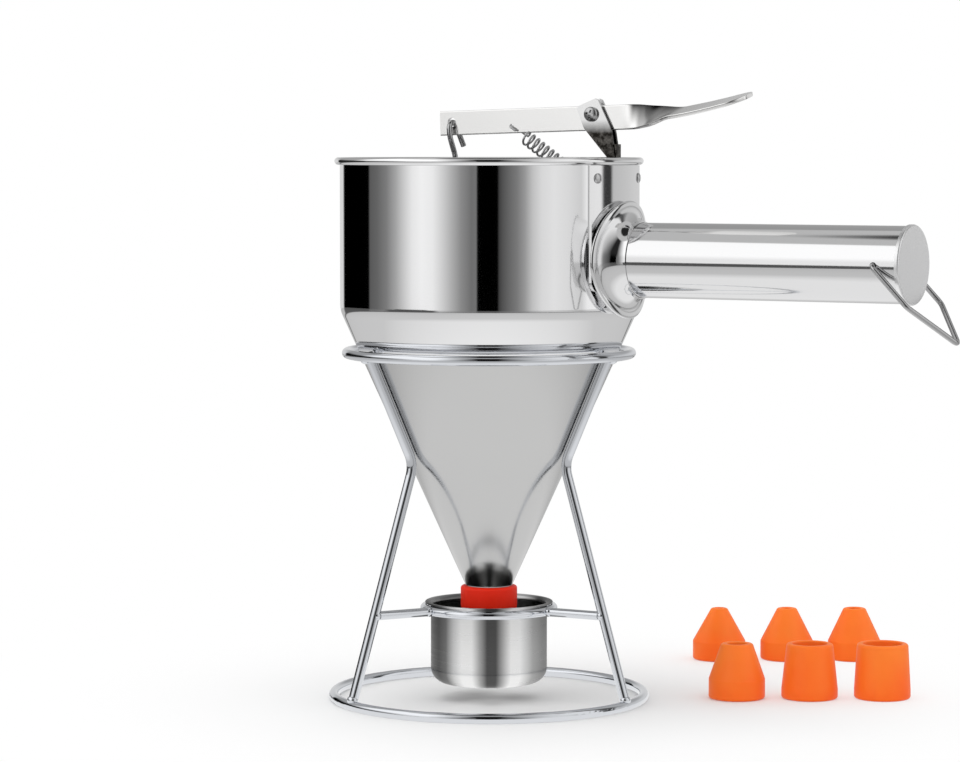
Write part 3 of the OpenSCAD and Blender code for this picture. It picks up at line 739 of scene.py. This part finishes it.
def addLever(size):
    strip = size["end"] - size["start"]
    run = size["twist"] + size["tab"]
    places = [size["start"], size["start"] + size["firstRing"]]
    places += [size["start"] + strip * i / size["stripRings"] for i in range(1, size["stripRings"])]
    places += [size["end"] + run * i / size["twistRings"] for i in range(size["twistRings"] + 1)]
    mesh = loft([leverRing(size, x) for x in places])
    bmesh.ops.recalc_face_normals(mesh, faces=mesh.faces)
    mesh = punched(mesh, size)
    pivot = Vector((size["pivot"][0], 0, size["pivot"][1])) * mm
    mesh.transform(Matrix.Translation(pivot) @ Matrix.Rotation(math.radians(-size["tilt"]), 4, "Y") @
                   Matrix.Translation(-pivot))
    piece = makePiece("leverPressed", mesh, "lever_steel", "lever", ["thumb_lever"], 40)
    paintTwistReflection(piece, size)


addLever(lever)

# coil spring from the lever's hole to the bracket's lug
spring = {
    "from": (12.1237, 0, 258.556),
    "to": (61.1, 0, 224.764),
    "coilRadius": 3,
    "wire": 1,
    "wireSides": 10,
    "turns": 14,
    "stepsPerTurn": 24,
    "hookBend": 2.1,
    "hookTail": 1.2,
    "leads": (7.8, 11.1),
    "leadShares": (0.5, 0.78),
}


def springEnd(size, lead):
    hook = size["hookBend"]
    nearShare, farShare = size["leadShares"]
    path = [Vector((hook + size["hookTail"], -hook, 0))]
    for angle in range(-90, 91, 15):
        turn = math.radians(angle)
        path.append(Vector((hook - hook * math.cos(turn), hook * math.sin(turn), 0)))
    path.append(Vector((lead * nearShare, hook, 0)))
    path.append(Vector((lead * farShare, (hook + size["coilRadius"]) / 2, 0)))
    return path


def addSpring(size):
    start, end = Vector(size["from"]), Vector(size["to"])
    length = (end - start).length
    first, last = size["leads"]
    count = size["turns"] * size["stepsPerTurn"]
    path = springEnd(size, first)
    for i in range(count + 1):
        turn = 2 * math.pi * i / size["stepsPerTurn"]
        path.append(Vector((first + (length - first - last) * i / count, size["coilRadius"] * math.cos(turn),
                            size["coilRadius"] * math.sin(turn))))
    path += [Vector((length - point.x, point.y, 0)) for point in reversed(springEnd(size, last))]
    mesh = loft(wireRings(path, size["wire"] / 2, size["wireSides"]))
    dip = math.atan2(start.z - end.z, end.x - start.x)
    mesh.transform(Matrix.Translation(start * mm) @ Matrix.Rotation(dip, 4, "Y"))
    piece = makePiece("springCoiled", mesh, "spring_wire", None, ["valve_spring"], 60)
    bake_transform(piece)


addSpring(spring)

# weld beads where the stand's wires meet: distance from the axis, height and radius
welds = {
    "turns": (0, 120, 240),
    "beads": [(62.9, 156.1, 2.5), (69.9, 4.3, 2.45), (31.2, 41.3, 2.25), (57.9, 41.3, 2.4)],
    "stretch": 1.12,
}


def addWelds(size):
    mesh = bmesh.new()
    shape = Matrix.Diagonal((1, size["stretch"], 1, 1))
    for angle in size["turns"]:
        turn = Matrix.Rotation(math.radians(angle), 4, "Z")
        for away, height, bead in size["beads"]:
            place = turn @ Matrix.Translation((away * mm, 0, height * mm))
            bmesh.ops.create_icosphere(mesh, subdivisions=3, radius=bead * mm, matrix=place @ shape)
    makePiece("weldBeads", mesh, "stand_wire", "stand")


addWelds(welds)

# rivets with domed heads
rivets = {
    "turn": 16.117,
    "height": 235.724,
    "inside": 64.6,
    "outside": 68.4,
    "shank": 1.42,
    "head": 2.25,
    "dome": 1,
    "domeAngles": range(12, 91, 13),
}


def addRivets(size):
    inside, outside, dome = size["inside"], size["outside"], size["dome"]
    turns = [math.radians(angle) for angle in size["domeAngles"]]
    head = [(size["head"] * math.sin(turn), dome * math.cos(turn)) for turn in turns]
    profile = [(0, inside - dome)] + [(across, inside - rise) for across, rise in head]
    profile += [(size["shank"], inside), (size["shank"], outside)]
    profile += [(across, outside + rise) for across, rise in reversed(head)] + [(0, outside + dome)]
    lift = Matrix.Translation((0, 0, size["height"] * mm)) @ Matrix.Rotation(math.pi / 2, 4, "Y")
    mesh = lathe(profile, steps=40, closed=False)
    mesh.transform(Matrix.Rotation(math.radians(-size["turn"]), 4, "Z") @ lift)
    copied = bmesh.ops.duplicate(mesh, geom=mesh.verts[:] + mesh.edges[:] + mesh.faces[:])["geom"]
    bmesh.ops.rotate(mesh, verts=[part for part in copied if isinstance(part, bmesh.types.BMVert)],
                     cent=(0, 0, 0), matrix=Matrix.Rotation(math.radians(2 * size["turn"]), 3, "Z"))
    makePiece("rivetHeads", mesh, "rivet_steel", "funnel", ["bracket_rivets"])


addRivets(rivets)
print("lever work made")

# surround: a dome that only reflections show, in metres and degrees
surround = {
    "radius": 2.3,
    "steps": 720,
    "elevations": [0, 0.6, 1.6, 2.2, 6, 10, 12, 14, 16, 18, 20, 22, 24, 30, 40, 50, 56, 57, 58, 59,
                   65, 70, 71, 72, 73, 74, 80],
    "cameraTurn": -60,
    # tones by degrees round the object from the camera's side, near the horizon and high up
    "lowTones": [(-180, 0.7), (-152, 0.7), (-149, 0.1), (-147, 0), (-104.5, 0), (-102.5, 0.11), (-94, 0.14),
                 (-84, 0.22), (-75, 0.4), (-68, 0.62), (-60, 0.87), (-52, 0.96), (-43, 0.9), (-36, 0.7),
                 (-28, 0.46), (-21, 0.28), (-13, 0.17), (-9.5, 0.19), (-8.7, 0), (6.6, 0), (7.4, 0.05),
                 (10, 0.09), (14.5, 0.14), (21, 0.21), (27, 0.34), (33, 0.58), (40, 0.75), (50, 0.82),
                 (62, 0.76), (74, 0.66), (80, 0.9), (92, 0.95), (95, 0.05), (103, 0.04), (106, 0.6),
                 (140, 0.7), (180, 0.7)],
    "highTones": [(-180, 0.36), (-122, 0.4), (-106, 1.15), (-46, 1.2), (-24, 0.5), (-10, 0.02), (8, 0.02),
                  (28, 0.5), (60, 0.9), (90, 0.9), (97, 0.1), (104, 0.1), (120, 0.5), (180, 0.36)],
    "highFrom": (10, 24),
    "ceilingFrom": (56, 59),
    "ceilingTone": 0.56,
    "crownFrom": (70, 74),
    "crownTone": 0.02,
    "darkSide": -62,
    "darkLineTop": 1,
    "darkLineEdge": (16, 12),
    "darkLineDepth": 0.92,
}


def toneAt(stops, place):
    for (first, low), (second, high) in zip(stops, stops[1:]):
        if first <= place <= second:
            return low + (high - low) * (place - first) / (second - first)
    return stops[-1][1]


def surroundTone(size, angle, place):
    elevation = math.degrees(math.atan2(place.z, math.hypot(place.x, place.y)))
    tone = toneAt(size["lowTones"], angle)
    tone += (toneAt(size["highTones"], angle) - tone) * ramp(elevation, *size["highFrom"])
    tone += (size["ceilingTone"] - tone) * ramp(elevation, *size["ceilingFrom"])
    tone += (size["crownTone"] - tone) * ramp(elevation, *size["crownFrom"])
    if elevation < size["darkLineTop"]:
        tone *= 1 - size["darkLineDepth"] * ramp(abs(angle - size["darkSide"]), *size["darkLineEdge"])
    return tone


def spinStage(name, profile, size, toneOf):
    # each vertex keeps the tone that reflections show
    mesh = spinProfile(profile, size["steps"])
    bmesh.ops.remove_doubles(mesh, verts=mesh.verts, dist=mergeDistance)
    layer = mesh.verts.layers.float.new("tone")
    for vert in mesh.verts:
        angle = math.degrees(math.atan2(vert.co.y, vert.co.x)) - surround["cameraTurn"]
        vert[layer] = toneOf(size, (angle + 180) % 360 - 180, vert.co)
    return newObject(name, mesh)


def addSurround(size):
    turns = [math.radians(elevation) for elevation in size["elevations"]]
    profile = [(size["radius"] * math.cos(turn), size["radius"] * math.sin(turn)) for turn in turns]
    dome = spinStage("surround", profile + [(0, profile[-1][1])], size, surroundTone)
    material, tree, shader = startMaterial("surroundTones", metallic=0)
    feed(tree, (0, 0, 0), shader.inputs["Base Color"])
    shader.inputs["Specular IOR Level"].default_value = 0
    shader.inputs["Emission Strength"].default_value = 1
    tree.links.new(ownAttribute(tree, "tone"), shader.inputs["Emission Color"])
    dome.data.materials.append(material)
    dome.visible_camera = False
    dome.visible_diffuse = False
    dome.visible_shadow = False
    dome.visible_transmission = False


addSurround(surround)

# floor, which fades to white for the camera and has other tones in reflections
ground = {
    "rings": [0.1, 0.18, 0.24, 0.3, 0.5, 0.7, 0.85, 0.9, 0.95, 1, 1.05, 1.1, 1.3, 1.6, 2, 2.3, 4, 7],
    "steps": 360,
    "colour": (0.9, 0.9, 0.9),
    "roughness": 0.6,
    "shine": 0.2,
    "fade": (0.08, 0.27),
    # tones by distance from the object
    "nearTones": [(0, 0.9), (0.18, 0.9), (0.3, 0.62), (0.85, 0.55), (0.95, 0.1), (2.3, 0.08)],
    "farFrom": (0.95, 1.1),
    "farShare": 0.6,
    "farSides": (18, 26),
}


def groundTone(size, angle, place):
    distance = math.hypot(place.x, place.y)
    away = abs(angle - surround["darkSide"])
    far = size["farShare"] * toneAt(surround["lowTones"], angle)
    return (toneAt(size["nearTones"], distance) +
            far * ramp(distance, *size["farFrom"]) * ramp(away, *size["farSides"]))


def mixShaders(tree, factor, first, second):
    node = tree.nodes.new("ShaderNodeMixShader")
    for value, target in zip((factor, first, second), node.inputs):
        tree.links.new(value, target)
    return node.outputs["Shader"]


def glow(tree, colour):
    node = tree.nodes.new("ShaderNodeEmission")
    feed(tree, colour, node.inputs["Color"])
    return node.outputs["Emission"]


def addFloor(size):
    profile = [(distance, 0) for distance in [0] + size["rings"]]
    floor = spinStage("floor", profile, size, groundTone)
    material, tree, shader = startMaterial("paleFloor", metallic=0)
    feed(tree, size["colour"], shader.inputs["Base Color"])
    shader.inputs["Roughness"].default_value = size["roughness"]
    shader.inputs["Specular IOR Level"].default_value = size["shine"]
    away = tree.nodes.new("ShaderNodeVectorMath")
    away.operation = "LENGTH"
    tree.links.new(objectPattern(tree, (1, 1, 0)), away.inputs[0])
    fade = tree.nodes.new("ShaderNodeMapRange")
    fade.interpolation_type = "SMOOTHSTEP"
    fade.inputs["From Min"].default_value, fade.inputs["From Max"].default_value = size["fade"]
    tree.links.new(away.outputs["Value"], fade.inputs["Value"])
    light = tree.nodes.new("ShaderNodeLightPath")
    whitened = combine(tree, "MULTIPLY", fade.outputs["Result"], light.outputs["Is Camera Ray"])
    seen = mixShaders(tree, whitened, shader.outputs["BSDF"], glow(tree, (1, 1, 1)))
    reflected = glow(tree, ownAttribute(tree, "tone"))
    both = mixShaders(tree, light.outputs["Is Glossy Ray"], seen, reflected)
    output = [node for node in tree.nodes if node.bl_idname == "ShaderNodeOutputMaterial"][0]
    tree.links.new(both, output.inputs["Surface"])
    floor.data.materials.append(material)


addFloor(ground)


def lightWorld(level):
    # full white where it is seen, and a little less where it lights the object
    world = bpy.data.worlds.new("paleStudio")
    bpy.context.scene.world = world
    world.use_nodes = True
    tree = world.node_tree
    tree.nodes.clear()
    output = tree.nodes.new("ShaderNodeOutputWorld")
    background = tree.nodes.new("ShaderNodeBackground")
    feed(tree, (1, 1, 1), background.inputs["Color"])
    path = tree.nodes.new("ShaderNodeLightPath")
    strength = combine(tree, "MULTIPLY", path.outputs["Is Diffuse Ray"], level)
    for name in ("Is Camera Ray", "Is Glossy Ray", "Is Transmission Ray"):
        strength = combine(tree, "MAXIMUM", strength, path.outputs[name])
    tree.links.new(strength, background.inputs["Strength"])
    tree.links.new(background.outputs["Background"], output.inputs["Surface"])


worldLevel = 0.98
lightWorld(worldLevel)

# lamps: place, target, size and power
lamps = {
    "overheadLamp": ((-0.2, -0.3, 2), (0, 0, 0.1), (1.2, 1.2), 9),
    "leftLamp": ((-1.5, -1.3, 1.1), (0, 0, 0.15), (0.9, 1), 3),
}


def addLamp(name, place, target, size, power):
    lamp = bpy.data.lights.new(name, "AREA")
    lamp.shape = "RECTANGLE"
    lamp.size, lamp.size_y = size
    lamp.energy = power
    holder = bpy.data.objects.new(name, lamp)
    bpy.context.scene.collection.objects.link(holder)
    holder.location = place
    holder.rotation_euler = (Vector(target) - Vector(place)).to_track_quat("-Z", "Y").to_euler()
    holder.visible_glossy = False


for lampName, values in lamps.items():
    addLamp(lampName, *values)

# camera, where the photograph was taken from
view = {
    "place": (0.77, -1.3337, 0.248),
    "dip": 3.86,
    "turn": 30.15,
    "lens": 128.3,
    "sensor": 36,
    "reach": 50,
}


def addCamera(size):
    data = bpy.data.cameras.new("photoCamera")
    data.sensor_width = size["sensor"]
    data.lens = size["lens"]
    data.clip_end = size["reach"]
    camera = bpy.data.objects.new("photoCamera", data)
    bpy.context.scene.collection.objects.link(camera)
    camera.location = size["place"]
    camera.rotation_euler = (math.radians(90 - size["dip"]), 0, math.radians(size["turn"]))
    bpy.context.scene.camera = camera


addCamera(view)
bpy.context.scene.view_settings.view_transform = "Standard"
print("studio ready")
